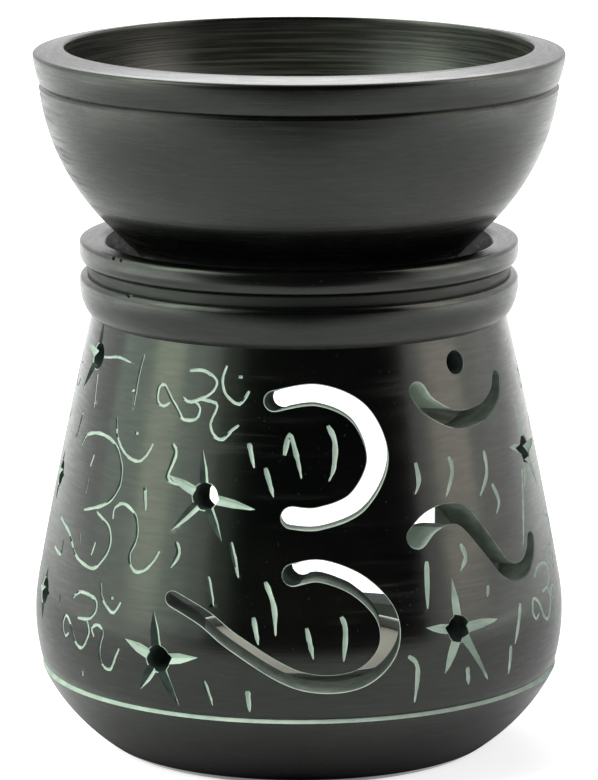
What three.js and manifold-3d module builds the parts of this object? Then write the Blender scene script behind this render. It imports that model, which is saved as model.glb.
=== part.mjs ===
// Soapstone lamp: a turned, pierced stone body that shelters a tealight, and a turned oil dish
// that stands in the body's mouth and lifts off. Millimetres, +Z up. The origin is the centre of
// the flat base, the pierced sign faces -Y and the window for the tealight is cut through the
// back, facing +Y. Heights are above the base unless a name says otherwise.

import * as THREE from 'three';
import { mergeVertices } from 'three/addons/utils/BufferGeometryUtils.js';
import Module from 'manifold-3d';

// Body, outside
const BODY_H = 72.8;
const BASE_R = 26.3;
const FOOT_SWELL_R = 33.4;
const FOOT_SWELL_Z = 4.6;
const BASE_LINE_Z = 11.9;
const BASE_LINE_SET = 0.9;
const BELLY_R = 37.6;
const BELLY_TOP_SET = 0.5;
const BELLY_TOP_Z = 24.5;
const WALL_BOW = 0.25;
const NECK_R = 29.3;
const COLLAR_R = 31.0;
const LOWER_RING_H = 6.6;
const UPPER_RING_H = 4.2;
const RING_GAP_DEPTH = 1.1;
const RING_GAP_W = 1.3;
const RING_ROUND = 1.9;
const RING_EDGE = 0.6;

// A scratched line: a shallow V turned into the stone
const LINE_W = 0.9;
const LINE_DEPTH = 0.4;

// Body, inside
const WALL = 5.7;
const FLOOR_T = 4.2;
const FLOOR_R = 24.0;
const BORE_R = 20.8;
const BORE_H = 4.0;
const BORE_FLARE_H = 3.5;
const MOUTH_R = 27.8;
const MOUTH_EDGE = 0.5;
const SEAT_DEPTH = 4.5;

// Oil dish: its rim is turned to the width of the body's belly
const DISH_H = 31.4;
const FOOT_R = 22.5;
const UNDERSIDE_R = 28.1;
const UNDERSIDE_RISE = 7.5;
const RIM_SET = 0.2;
const RIM_W = 4.5;
const RIM_FALL = 0.8;
const LIP_H = 4.0;
const LIP_LEAN = 0.9;
const DISH_BELLY_SET = 1.2;
const DISH_BELLY_DROP = 16.0;
const DISH_FLOOR_T = 6.4;
const DISH_HOLLOW_R = 24.0;

// Tealight, of the flat kind
const CUP_R = 19.0;
const CUP_H = 9.6;
const CUP_T = 0.5;
const CUP_BEAD = 0.4;
const WAX_DROP = 1.6;
const WICK_R = 0.8;
const WICK_SHOWN = 5.0;
const TAB_R = 6.5;
const TAB_T = 0.4;
const TAB_NECK_H = 3.4;

// Clearances
const SEAT_GAP = 0.3;
const FOOT_CLEARANCE = 0.8;
const WINDOW_CLEARANCE = 0.8;

// Window in the back: an arch with its lower corners rounded
const SILL_Z = 12.6;
const SILL_CORNER_R = 6.0;
const WINDOW_H = 40.0;

// Pierced sign: strokes are drawn on a square grid, with the grid's middle on the body's taper.
// Each stroke has the points its centre line passes through (across, up) and its width at both ends.
// Cuts through the tapering part lean, because the saw was held nearly square to the wall.
const GRID = 1.0;
const CUT_LEAN = 0.13;
const SIDE_PANEL_DEG = 45;
const DOT_R = 1.65;
const DOT_AT = [0.4, 21.7];
const FRONT_STROKES = [
  {
    line: [[-3.4, 18.2], [2.6, 19], [8.2, 16.4], [10.7, 10.4], [8, 4.8], [2.8, 2.6], [-1, 2.7]],
    widths: [2.7, 2.9],
    lean: CUT_LEAN,
  },
  {
    line: [[-0.8, -4.9], [3, -4.4], [8.2, -6.6], [12, -11], [11.9, -15.9], [7.6, -19.4], [0, -19.2],
      [-8.6, -14.4], [-13, -11.2], [-17.2, -9.1]],
    widths: [2.9, 2.1],
    lean: 0,
  },
];
const SIDE_STROKES = [
  {
    line: [[-10.4, -0.6], [-8.2, 1.1], [-5.2, 1.8], [-2.2, 0.9], [2, -4], [4.4, -6.8], [6.8, -8],
      [9.8, -7.7], [11.8, -6], [12.5, -4.4]],
    widths: [3, 2.1],
    lean: CUT_LEAN,
  },
  {
    line: [[-7, 18.7], [-5.4, 16.4], [-1, 14.1], [4.6, 14.4], [8.2, 16.3], [9.5, 18.4]],
    widths: [2.5, 2.1],
    lean: CUT_LEAN,
  },
];

// Stars: each is drilled through at its middle (degrees round from the front, height on the grid)
const STAR_HOLE_R = 1.85;
const STARS = [
  [-22.4, 5], [-31, -17.5], [36.1, -13.8], [72.4, 7.2], [-67.6, 20.8], [-80.3, 2.9], [-74.7, -13.2],
  [104, -10.5], [118, 12.5], [-112, 14], [-117, -11],
];

// Facets
const TURNED_SIDES = 60;
const CUP_SIDES = 40;
const WICK_SIDES = 12;
const CURVE_STEPS = 5;
const STROKE_STEPS = 22;
const ROUND_END_STEPS = 4;
const HOLE_STEPS = 6;

// Levels and radii worked out from the sizes above
const BASE_LINE_R = BELLY_R - BASE_LINE_SET;
const BELLY_TOP_R = BELLY_R - BELLY_TOP_SET;
const RIM_R = BELLY_R - RIM_SET;
const LIP_FOOT_R = RIM_R - LIP_LEAN;
const DISH_BELLY_R = LIP_FOOT_R - DISH_BELLY_SET;
const COLLAR_Z = BODY_H - UPPER_RING_H;
const NECK_Z = COLLAR_Z - LOWER_RING_H;
const SEAT_Z = BODY_H - SEAT_DEPTH;
const SEAT_R = FOOT_R + FOOT_CLEARANCE;
const DISH_Z = SEAT_Z + SEAT_GAP;
const CUP_Z = FLOOR_T + SEAT_GAP;
const SIGN_Z = (BASE_LINE_Z + NECK_Z) / 2;
const WINDOW_R = CUP_R + CUP_BEAD + WINDOW_CLEARANCE;
const TAPER = (BELLY_TOP_R - NECK_R) / (NECK_Z - BELLY_TOP_Z);

const wasm = await Module();
wasm.setup();

// A closed geometry as a solid that can be joined and cut
function solid(geometry) {
  geometry.deleteAttribute('normal');
  geometry.deleteAttribute('uv');
  const welded = mergeVertices(geometry, 1e-5);
  const corners = welded.index.array;
  const triVerts = [];
  for (let i = 0; i < corners.length; i += 3) {
    const [a, b, c] = corners.slice(i, i + 3);
    if (a !== b && b !== c && c !== a) triVerts.push(a, b, c);
  }
  return new wasm.Manifold(new wasm.Mesh({
    numProp: 3,
    vertProperties: Float32Array.from(welded.attributes.position.array),
    triVerts: Uint32Array.from(triVerts),
  }));
}

function piece(name, body, material) {
  const { vertProperties, triVerts } = body.getMesh();
  const geometry = new THREE.BufferGeometry();
  geometry.setAttribute('position', new THREE.BufferAttribute(vertProperties, 3));
  geometry.setIndex(new THREE.BufferAttribute(triVerts, 1));
  geometry.computeVertexNormals();
  const mesh = new THREE.Mesh(geometry, material);
  mesh.name = name;
  return mesh;
}

// A profile of (radius, height), from the axis up the outside and back to the axis, turned about Z
function turned(profile, sides) {
  const lathe = new THREE.LatheGeometry(profile.getPoints(CURVE_STEPS), sides);
  return solid(lathe.rotateX(Math.PI / 2));
}

// A flat shape (across, up) driven through the wall on one side, in along that side's facing. A cut
// that leans drops on its way in, and keeps the shape's heights where it meets the tapering outside.
function wallCut(shape, degreesRound, lean) {
  const inner = BORE_R - WALL;
  const depth = BELLY_R + WALL - inner;
  const straight = { depth, bevelEnabled: false, curveSegments: HOLE_STEPS };
  const cutter = new THREE.ExtrudeGeometry(shape, straight);
  const leaning = new THREE.Matrix4().set(
    1, 0, 0, 0,
    0, 1 + lean * TAPER, lean, -lean * (BELLY_TOP_R + TAPER * BELLY_TOP_Z),
    0, 0, 1, 0,
    0, 0, 0, 1,
  );
  cutter.translate(0, 0, inner).applyMatrix4(leaning);
  cutter.rotateX(Math.PI / 2).rotateZ(THREE.MathUtils.degToRad(degreesRound));
  return solid(cutter);
}

function onGrid([across, up]) {
  return new THREE.Vector2(across * GRID, SIGN_Z + up * GRID);
}

// The outline of one stroke: both edges of its centre line, with a round end at each end
function strokeShape({ line, widths }) {
  const centreLine = new THREE.SplineCurve(line.map(onGrid));
  const [startR, endR] = widths.map((width) => width * GRID / 2);
  const left = [];
  const right = [];
  for (let step = 0; step <= STROKE_STEPS; step++) {
    const along = step / STROKE_STEPS;
    const at = centreLine.getPointAt(along);
    const across = centreLine.getTangentAt(along).rotateAround(new THREE.Vector2(), Math.PI / 2);
    across.multiplyScalar(THREE.MathUtils.lerp(startR, endR, along));
    left.push(at.clone().add(across));
    right.unshift(at.clone().sub(across));
  }
  const endCap = roundEnd(centreLine.getPointAt(1), left.at(-1));
  const startCap = roundEnd(centreLine.getPointAt(0), right.at(-1));
  return new THREE.Shape([...left, ...endCap, ...right, ...startCap]);
}

function roundEnd(middle, from) {
  const cap = [];
  for (let step = 1; step < ROUND_END_STEPS; step++) {
    cap.push(from.clone().rotateAround(middle, -Math.PI * step / ROUND_END_STEPS));
  }
  return cap;
}

function roundHole(across, height, radius) {
  return new THREE.Shape().absarc(across, height, radius, 0, 2 * Math.PI);
}

function windowShape() {
  const springZ = SILL_Z + WINDOW_H - WINDOW_R;
  const cornerX = WINDOW_R - SILL_CORNER_R;
  const cornerZ = SILL_Z + SILL_CORNER_R;
  return new THREE.Shape()
    .absarc(-cornerX, cornerZ, SILL_CORNER_R, Math.PI, 1.5 * Math.PI)
    .absarc(cornerX, cornerZ, SILL_CORNER_R, 1.5 * Math.PI, 2 * Math.PI)
    .absarc(0, springZ, WINDOW_R, 0, Math.PI);
}

// Outside of the body, from the middle of the base up to the outer edge of the collar
function bodyOutside(profile) {
  const lineTop = BASE_LINE_Z + LINE_W / 2;
  const lineFoot = BASE_LINE_Z - LINE_W / 2;
  const bellySwell = 2 * BELLY_R - (BASE_LINE_R + BELLY_TOP_R) / 2;
  const wallSwell = (BELLY_TOP_R + NECK_R) / 2 + 2 * WALL_BOW;
  const ringGapR = COLLAR_R - RING_GAP_DEPTH;
  const ringGapFoot = COLLAR_Z - RING_GAP_W / 2;
  const ringGapTop = COLLAR_Z + RING_GAP_W / 2;
  return profile
    .moveTo(0, 0)
    .lineTo(BASE_R, 0)
    .quadraticCurveTo(FOOT_SWELL_R, FOOT_SWELL_Z, BASE_LINE_R, lineFoot)
    .lineTo(BASE_LINE_R - LINE_DEPTH, BASE_LINE_Z)
    .lineTo(BASE_LINE_R, lineTop)
    .quadraticCurveTo(bellySwell, (lineTop + BELLY_TOP_Z) / 2, BELLY_TOP_R, BELLY_TOP_Z)
    .quadraticCurveTo(wallSwell, (BELLY_TOP_Z + NECK_Z) / 2, NECK_R, NECK_Z)
    .quadraticCurveTo(COLLAR_R, NECK_Z + LOWER_RING_H / 4, COLLAR_R, NECK_Z + LOWER_RING_H * 3 / 4)
    .quadraticCurveTo(COLLAR_R, ringGapFoot, ringGapR, ringGapFoot)
    .lineTo(ringGapR, ringGapTop)
    .quadraticCurveTo(COLLAR_R, ringGapTop + RING_ROUND / 3, COLLAR_R, ringGapTop + RING_ROUND)
    .lineTo(COLLAR_R, BODY_H - RING_EDGE)
    .lineTo(COLLAR_R - RING_EDGE, BODY_H);
}

// The mouth with its seat for the dish, the bore, and the hollow down to the floor
function bodyInside(profile) {
  const boreFoot = SEAT_Z - BORE_H;
  const hollowTop = boreFoot - BORE_FLARE_H;
  const hollowTopR = NECK_R + (NECK_Z - hollowTop) * TAPER - WALL;
  return profile
    .lineTo(MOUTH_R + MOUTH_EDGE, BODY_H)
    .lineTo(MOUTH_R, BODY_H - MOUTH_EDGE)
    .lineTo(SEAT_R, SEAT_Z)
    .lineTo(BORE_R, SEAT_Z)
    .lineTo(BORE_R, boreFoot)
    .lineTo(hollowTopR, hollowTop)
    .lineTo(BELLY_TOP_R - WALL, BELLY_TOP_Z)
    .quadraticCurveTo(BELLY_R - WALL, FLOOR_T, FLOOR_R, FLOOR_T)
    .lineTo(0, FLOOR_T);
}

function lampBody() {
  let stone = turned(bodyInside(bodyOutside(new THREE.Path())), TURNED_SIDES);
  const cuts = [
    wallCut(windowShape(), 180, 0),
    wallCut(roundHole(DOT_AT[0] * GRID, SIGN_Z + DOT_AT[1] * GRID, DOT_R), SIDE_PANEL_DEG, CUT_LEAN),
    ...FRONT_STROKES.map((stroke) => wallCut(strokeShape(stroke), 0, stroke.lean)),
    ...SIDE_STROKES.map((stroke) => wallCut(strokeShape(stroke), SIDE_PANEL_DEG, stroke.lean)),
    ...STARS.map(([round, up]) => wallCut(roundHole(0, SIGN_Z + up * GRID, STAR_HOLE_R), round,
      up > 0 ? CUT_LEAN : 0)),
  ];
  for (const cut of cuts) stone = stone.subtract(cut);
  return stone;
}

function oilDish() {
  const rimZ = DISH_Z + DISH_H;
  const undersideZ = DISH_Z + UNDERSIDE_RISE;
  const lipFootZ = rimZ - RIM_FALL - LIP_H;
  const lineFootZ = lipFootZ - LINE_W;
  const floorZ = DISH_Z + DISH_FLOOR_T;
  const hollowR = RIM_R - RIM_W;
  const profile = new THREE.Path()
    .moveTo(0, DISH_Z)
    .lineTo(FOOT_R, DISH_Z)
    .lineTo(FOOT_R, undersideZ - (UNDERSIDE_R - FOOT_R))
    .lineTo(UNDERSIDE_R, undersideZ)
    .quadraticCurveTo(DISH_BELLY_R, rimZ - DISH_BELLY_DROP, LIP_FOOT_R, lineFootZ)
    .lineTo(LIP_FOOT_R - LINE_DEPTH, lineFootZ + LINE_W / 2)
    .lineTo(LIP_FOOT_R, lipFootZ)
    .lineTo(RIM_R, rimZ - RIM_FALL)
    .lineTo(hollowR, rimZ)
    .bezierCurveTo(hollowR, rimZ - DISH_H / 2, DISH_HOLLOW_R, floorZ, 0, floorZ);
  return turned(profile, TURNED_SIDES);
}

function tealightCup() {
  const inside = CUP_R - CUP_T;
  const top = CUP_Z + CUP_H;
  const profile = new THREE.Path()
    .moveTo(0, CUP_Z)
    .lineTo(CUP_R - CUP_T, CUP_Z)
    .lineTo(CUP_R, CUP_Z + CUP_T)
    .lineTo(CUP_R, top - 2 * CUP_BEAD)
    .lineTo(CUP_R + CUP_BEAD, top - CUP_BEAD)
    .lineTo(CUP_R, top)
    .lineTo(inside, top)
    .lineTo(inside, CUP_Z + CUP_T)
    .lineTo(0, CUP_Z + CUP_T);
  return turned(profile, CUP_SIDES);
}

// The tab's flat base lies on the cup's floor and its neck grips the foot of the wick
const TAB_Z = CUP_Z + CUP_T + SEAT_GAP;
const NECK_BORE_R = WICK_R + SEAT_GAP;
const NECK_TOP_Z = TAB_Z + TAB_T + TAB_NECK_H;

function wickTab() {
  const profile = new THREE.Path()
    .moveTo(0, TAB_Z)
    .lineTo(TAB_R, TAB_Z)
    .lineTo(TAB_R, TAB_Z + TAB_T)
    .lineTo(NECK_BORE_R + TAB_T, TAB_Z + TAB_T)
    .lineTo(NECK_BORE_R + TAB_T, NECK_TOP_Z)
    .lineTo(NECK_BORE_R, NECK_TOP_Z)
    .lineTo(NECK_BORE_R, TAB_Z + TAB_T)
    .lineTo(0, TAB_Z + TAB_T);
  return turned(profile, CUP_SIDES);
}

// The wax fills the cup round the tab and the wick, with a hollow melted round the wick
function tealightWax() {
  const waxR = CUP_R - CUP_T - SEAT_GAP;
  const waxTop = CUP_Z + CUP_H - WAX_DROP;
  const tabClear = TAB_Z + TAB_T + SEAT_GAP;
  const neckClearR = NECK_BORE_R + TAB_T + SEAT_GAP;
  const profile = new THREE.Path()
    .moveTo(TAB_R + SEAT_GAP, TAB_Z)
    .lineTo(waxR, TAB_Z)
    .lineTo(waxR, waxTop)
    .quadraticCurveTo(waxR / 3, waxTop, NECK_BORE_R, waxTop - WAX_DROP / 2)
    .lineTo(NECK_BORE_R, NECK_TOP_Z + SEAT_GAP)
    .lineTo(neckClearR, NECK_TOP_Z + SEAT_GAP)
    .lineTo(neckClearR, tabClear)
    .lineTo(TAB_R + SEAT_GAP, tabClear)
    .lineTo(TAB_R + SEAT_GAP, TAB_Z);
  return turned(profile, CUP_SIDES);
}

function wick() {
  const foot = TAB_Z + TAB_T + SEAT_GAP;
  const tip = CUP_Z + CUP_H - WAX_DROP + WICK_SHOWN;
  const profile = new THREE.Path()
    .moveTo(0, foot)
    .lineTo(WICK_R, foot)
    .lineTo(WICK_R, tip - WICK_R)
    .lineTo(WICK_R / 2, tip)
    .lineTo(0, tip);
  return turned(profile, WICK_SIDES);
}

const stone = new THREE.MeshStandardMaterial({ color: 0x26282a, roughness: 0.42, metalness: 0 });
const foil = new THREE.MeshStandardMaterial({ color: 0xc8cacc, roughness: 0.35, metalness: 1 });
const tin = new THREE.MeshStandardMaterial({ color: 0xa9acb0, roughness: 0.4, metalness: 1 });
const wax = new THREE.MeshStandardMaterial({ color: 0xf1ead8, roughness: 0.5, metalness: 0 });
const cotton = new THREE.MeshStandardMaterial({ color: 0xe6dfcd, roughness: 0.9, metalness: 0 });

const tealight = new THREE.Group().add(
  piece('tealight_cup', tealightCup(), foil),
  piece('tealight_wax', tealightWax(), wax),
  piece('wick_tab', wickTab(), tin),
  piece('wick', wick(), cotton),
);

const lamp = new THREE.Group().add(
  piece('lamp_body', lampBody(), stone),
  piece('oil_dish', oilDish(), stone),
  tealight,
);

export default lamp;
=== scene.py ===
"""Soapstone lamp: the looks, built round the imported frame.

Everything is placed in metres in the frame's own axes: +Z up, the pierced sign faces -Y and the
window for the tealight faces +Y. Sizes are written in millimetres and turned into metres by MM.
Directions round the lamp are in degrees from the front, positive towards +X.
"""

import math

import bpy
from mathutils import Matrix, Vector, geometry


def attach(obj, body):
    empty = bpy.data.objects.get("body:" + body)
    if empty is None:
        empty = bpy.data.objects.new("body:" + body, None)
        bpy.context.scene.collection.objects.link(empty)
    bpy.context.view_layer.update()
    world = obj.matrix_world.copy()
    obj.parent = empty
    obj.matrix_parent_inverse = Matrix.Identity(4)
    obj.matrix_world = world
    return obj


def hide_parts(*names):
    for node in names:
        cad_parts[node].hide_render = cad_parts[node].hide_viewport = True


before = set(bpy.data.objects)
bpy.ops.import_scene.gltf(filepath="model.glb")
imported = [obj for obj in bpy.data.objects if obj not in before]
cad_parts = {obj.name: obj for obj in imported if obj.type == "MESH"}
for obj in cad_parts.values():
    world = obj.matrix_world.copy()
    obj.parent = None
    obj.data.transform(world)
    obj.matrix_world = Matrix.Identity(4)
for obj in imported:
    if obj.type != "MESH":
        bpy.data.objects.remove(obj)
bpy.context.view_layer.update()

MM = 0.001

# Body, outside
BODY_H = 72.8
BASE_R = 26.3
BASE_EDGE = 0.8
FOOT_SWELL = (33.4, 4.6)
BASE_LINE_Z = 11.9
BASE_LINE_R = 36.7
BELLY_R = 37.6
BELLY_TOP_R = 37.1
BELLY_TOP_Z = 24.5
WALL_BOW = 0.25
NECK_R = 29.3
COLLAR_R = 31.0
LOWER_RING_H = 6.6
UPPER_RING_H = 4.2
RING_GAP_DEPTH = 1.1
RING_GAP_W = 1.3
RING_ROUND = 1.9
RING_EDGE = 0.6
LINE_W = 0.9
LINE_DEPTH = 0.4

# Body, inside
WALL = 5.7
FLOOR_T = 4.2
FLOOR_R = 24.0
BORE_R = 20.8
BORE_H = 4.0
BORE_FLARE_H = 3.5
MOUTH_R = 27.8
MOUTH_EDGE = 0.7
SEAT_DEPTH = 4.5
SEAT_R = 23.3
RIDGE_PITCH = 1.5
RIDGE_DEPTH = 0.25

# Oil dish
DISH_H = 31.4
FOOT_R = 22.5
UNDERSIDE_R = 28.1
UNDERSIDE_RISE = 7.5
UNDERSIDE_EDGE = 0.4
RIM_R = 37.4
RIM_W = 4.5
RIM_FALL = 0.8
RIM_EDGE = 0.5
RIM_INNER_EDGE = 0.5
LIP_H = 4.0
LIP_FOOT_R = 36.5
LIP_SWELL = 0.3
DISH_BELLY = (35.3, 16.0)
DISH_FLOOR_T = 6.4
DISH_HOLLOW_R = 24.0
SEAT_GAP = 0.3

# Tealight
CUP_R = 19.0
CUP_H = 9.6
CUP_T = 0.5
CUP_BEAD = 0.4
WAX_DROP = 1.6
WAX_CREEP = 1.5
WAX_FLAT = 4.0
WAX_DIP = 0.1
WICK_R = 0.8
WICK_SHOWN = 5.0
WICK_SUNK = 1.0
STRANDS = 3
STRAND_R = 0.42
TWISTS = 3.5
FRAYED_FROM = 0.97
FRAYED_SHARE = 0.7

# Window
WINDOW_R = 20.2
SILL_Z = 12.6
SILL_CORNER_R = 6.0
WINDOW_H = 40.0

# Levels
COLLAR_Z = BODY_H - UPPER_RING_H
NECK_Z = COLLAR_Z - LOWER_RING_H
SEAT_Z = BODY_H - SEAT_DEPTH
DISH_Z = SEAT_Z + SEAT_GAP
RIM_Z = DISH_Z + DISH_H
CUP_Z = FLOOR_T + SEAT_GAP
SIGN_Z = (BASE_LINE_Z + NECK_Z) / 2
TAPER = (BELLY_TOP_R - NECK_R) / (NECK_Z - BELLY_TOP_Z)

# How finely the pieces are drawn
TURNED_SIDES = 288
STONE_ROW = 0.9
CUP_SIDES = 160
CUP_ROW = 1.5
WAX_ROW = 1.0
SLIVER = 0.002
CURVE_STEPS = 14
HOLLOW_STEPS = 48
ROUND_STEPS = 36
STRAND_STEPS = 72
GROOVE_SIDES = 2
PANEL_TRIES = 4
WELD = 0.001

# How far off a level, a radius or a direction a face may be and still count as on it
SKIN = 0.1
DISH_SKIN = 0.05

# Pierced sign: the points each stroke's centre line passes through (across, up from the sign's
# middle) and its width at both ends
SIDE_PANEL = 45
DOT = (0.4, 21.7, 1.65)
UPPER_BOW = ([(-3.4, 18.2), (2.6, 19), (8.2, 16.4), (10.7, 10.4), (8, 4.8), (2.8, 2.6), (-1, 2.7)],
             (2.7, 2.9))
LOWER_BOW = ([(-0.8, -4.9), (3, -4.4), (8.2, -6.6), (12, -11), (11.9, -15.9), (7.6, -19.4), (0, -19.2),
              (-8.6, -14.4), (-13, -11.2), (-17.2, -9.1)], (2.9, 2.1))
TAIL = ([(-10.4, -0.6), (-8.2, 1.1), (-5.2, 1.8), (-2.2, 0.9), (2, -4), (4.4, -6.8), (6.8, -8), (9.8, -7.7),
         (11.8, -6), (12.5, -4.4)], (3, 2.1))
CRESCENT = ([(-7, 18.7), (-5.4, 16.4), (-1, 14.1), (4.6, 14.4), (8.2, 16.3), (9.5, 18.4)], (2.5, 2.1))

# How it is cut: from and to these distances off the axis, some cuts leaning up outward. The front strokes
# start in a hole drilled aslant, and their own cut stops short there by a share of its slant
CUT_INNER = 15.1
CUT_OUTER = 43.3
CUT_LEAN = 0.13
END_SLANT = 0.24
START_SHORT = 0.75
ARRIS = 0.12

# Stars: degrees round, height up from the sign's middle, then each arm's direction and length
STAR_HOLE_R = 1.85
STAR_ARMS = [(97, 7), (2, 7), (-62, 7.2), (-123, 6.4), (166, 6.2)]
SHORT_ARMS = [(92, 3.6), (-88, 4.4), (178, 3.2), (4, 2.8)]
STARS = [
    (-22.4, 5, [(98, 6.9), (-10, 7.6), (-64, 6.9), (-133, 7.1), (158, 6.6)]),
    (-31, -17.5, [(100, 7.1), (8, 6.5), (-66, 7.5), (-124, 6.1), (160, 6.3)]),
    (36.1, -13.8, [(93, 7.4), (2, 7.7), (-56, 10), (-113, 6.7), (171, 5.7)]),
    (72.4, 7.2, STAR_ARMS), (-67.6, 20.8, [(97, 5.5), (-125, 6.5), (170, 5)]), (-80.3, 2.9, SHORT_ARMS),
    (-74.7, -13.2, SHORT_ARMS),
    (104, -10.5, STAR_ARMS), (118, 12.5, STAR_ARMS), (-112, 14, STAR_ARMS), (-117, -11, STAR_ARMS),
]

# Scratched signs, drawn freehand: each stroke's points (across, up) in millimetres from the middle
SMALL_SIGN = [
    [(-2.2, 3.8), (0.1, 4), (2.1, 2.8), (1.4, 1.1), (-1.4, -0.3), (-2.8, 0.2)],
    [(-0.8, -0.3), (0, -1), (-0.5, -2.5), (-2.4, -2.7), (-3.3, -1.6), (-4.5, -0.3), (-6.1, 1.5), (-7, 1.1),
     (-6.9, -0.8), (-5.7, -1.3), (-4.8, -0.7)],
    [(-0.3, 0.2), (1.7, 0), (2.5, -0.6), (1.7, -3), (2.5, -4.6), (3.7, -4.9), (4.8, -3.7), (5.8, -2.9)],
    [(3.5, 4.9), (3, 3), (3.7, 1), (5.7, -0.1), (7, 1.7)],
    [(5.6, 3.7), (5.6, 3.3)],
]
TALL_SIGN = [
    [(-8.3, 5.2), (-7.2, 6.8), (-3.2, 7.7), (0.8, 7), (3.1, 4.4), (3.3, 1.4), (1.1, -1.3), (-4.1, -3.1)],
    [(-0.8, -2.7), (2.4, -4.3), (3.1, -6.8), (2, -8.9), (0.1, -10.4), (-3.9, -9.6), (-6.1, -7.8),
     (-7.6, -6.7), (-11.6, -5.5)],
    [(3, -3.1), (3, -1.6), (4.8, -0.7), (7.2, -2), (7.9, -4.8), (7, -7.5), (8, -9.3), (9.5, -9.2),
     (11, -7.8), (11.9, -6.2)],
    [(0.4, 10.4), (1.3, 7.9), (3.6, 5.9), (6.3, 5.3), (7.8, 6.4), (8.7, 8)],
    [(5.3, 9.2), (5.3, 8.8)],
    [(-11.9, -9.8), (-8.9, -10.3), (-8.7, -8.2)],
]
LOW_SIGN = [
    [(-4.5, 2.6), (-2.7, 3.8), (0.8, 3.5), (1.4, 2), (0.1, 0.6), (-2.6, 0.2)],
    [(-0.3, 0.2), (0.3, -1.4), (-1.3, -3.8), (-3, -3.2), (-4.3, -1), (-5.9, -0.1), (-6.6, -1.8),
     (-5.8, -3), (-4.7, -2.4)],
    [(1.5, -1.7), (0.9, -0.6), (2.2, 0.1), (3.3, -0.8), (2.7, -3.2), (3.1, -5.3), (4.7, -5.8),
     (6, -3.6), (6.6, -2.5)],
    [(1.7, 5.8), (2.3, 4), (3.8, 2.7), (5.1, 2.3), (6.2, 3.9)],
    [(4.4, 4.4), (4.4, 4)],
]
SIGNS = [
    (SMALL_SIGN, -25.7, 54.7), (TALL_SIGN, -52.8, 40.2), (LOW_SIGN, -51.4, 22.4),
    (LOW_SIGN, 71, 24.5), (SMALL_SIGN, 95, 53), (TALL_SIGN, 96, 40), (LOW_SIGN, 127, 20),
    (SMALL_SIGN, -92, 52), (TALL_SIGN, -104, 33), (LOW_SIGN, -131, 24),
]

# Scratched dashes: (degrees round, height) along each
DASHES = [
    [(-39, 42.2), (-37.8, 39.1)], [(-12.2, 49.5), (-10.7, 46.2)], [(-8, 46.3), (-5.9, 42.4)],
    [(-3.5, 48), (-2.3, 50.7), (-0.6, 48), (0.6, 44.9)], [(7.1, 51.9), (8.7, 49.8), (8.3, 46.3), (7, 44.5)],
    [(-28.7, 35.6), (-27.8, 34.1), (-29.4, 32)], [(-15.4, 36.2), (-13.3, 31.5)],
    [(-20.3, 31.4), (-18.6, 27.5)], [(-7.3, 31.1), (-5.4, 27.9), (-4.9, 23.9)], [(-9.7, 26.3), (-8.5, 22.6)],
    [(1.6, 25), (3, 20.7)], [(9, 26.4), (9.8, 24.6), (9.3, 20.3)], [(-20.3, 17.1), (-18.6, 13.6)],
    [(-10.8, 16.1), (-10.5, 13)],
    [(29, 46.2), (29.4, 43.8), (28.1, 42)], [(38.8, 46.4), (39.3, 44.3), (36.5, 41.1)],
    [(51.1, 46.2), (50.8, 43.1), (47.2, 40.3)], [(52.2, 41.5), (53.8, 39), (52.1, 37.4)],
    [(67.7, 41.9), (61.2, 32.1)], [(39, 34.5), (40, 32.6), (38.1, 30.9)], [(29.4, 32.9), (28.6, 26.5)],
    [(45.8, 28.2), (45.1, 26.7)], [(56, 24.5), (52.9, 19.2)], [(51.4, 19.1), (51.3, 15)],
    [(23.4, 20.4), (25.5, 18.8), (25.3, 13.6)], [(38.1, 17.6), (38.8, 15)],
    [(-32.4, 48.6), (-31.2, 47.5), (-31.9, 45.8), (-32.8, 44.1), (-31.3, 43.4), (-28.8, 43.2)],
    [(86, 56), (87, 52)], [(84, 33), (85, 28)], [(92, 30), (91, 25.5)], [(86, 17), (87, 13.6)],
    [(112, 31), (113, 27)], [(119, 29), (118, 25)], [(110, 46), (112, 42)], [(104, 57), (105, 54)],
    [(128, 44), (129, 39)], [(133, 34), (132, 30)], [(116, 17), (117, 13.5)], [(135, 52), (136, 47)],
    [(-88, 33), (-87, 28)], [(-90, 22), (-89, 17)], [(-98, 20), (-97, 15)], [(-103, 57), (-104, 53)],
    [(-119, 40), (-120, 35)], [(-127, 38), (-126, 33)], [(-128, 52), (-129, 46)], [(-118, 57), (-119, 53)],
    [(-106, 18), (-107, 14)], [(-137, 41), (-136, 36)], [(-137, 16), (-136, 13)], [(-97, 44), (-98, 40)],
]
DASH_R = 0.38
SIGN_R = 0.28
PIP_R = 0.55
DASH_LIGHTEST = 0.4
SIGN_LIGHTEST = 0.75
PRESS_START = 0.7
PRESS_RISE = 3.5
PRESS_FALL = 1.7
WAVER = 0.12
WAVER_TURN = 61

# Fainter scratches, where the point slipped or was tried out
SLIPS = [
    [(-45.5, 59.8), (-46.3, 57.2), (-46.4, 54.2), (-46.2, 51.8)], [(-48, 54.6), (-46.4, 54.9)],
    [(-64.6, 57.9), (-60.5, 58.2), (-55.6, 58.6), (-48.3, 58.2)], [(-65.4, 55.4), (-64.6, 53), (-63.6, 50.6)],
    [(-59.3, 44.8), (-60.2, 42.9)], [(-60.1, 41.4), (-59.9, 39.1)], [(-52.8, 33.4), (-53.7, 31.2)],
    [(-59.5, 33.8), (-58.7, 32.5)], [(-70.2, 49.6), (-71.7, 45.5)], [(-64.1, 24.8), (-64, 22.9)],
    [(-53.9, 15.1), (-54.1, 14.2)],
]
SLIP_R = 0.24
GROOVE_LIFT = 0.12
GROOVE_STEP = 0.6
ARM_W = 1.8
ARM_DEPTH = 0.85
ARM_RISE = 0.15
ARM_SHOULDER = 0.55
ARM_SHOULDER_W = 0.8
ARM_TIP_W = 0.12

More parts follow.
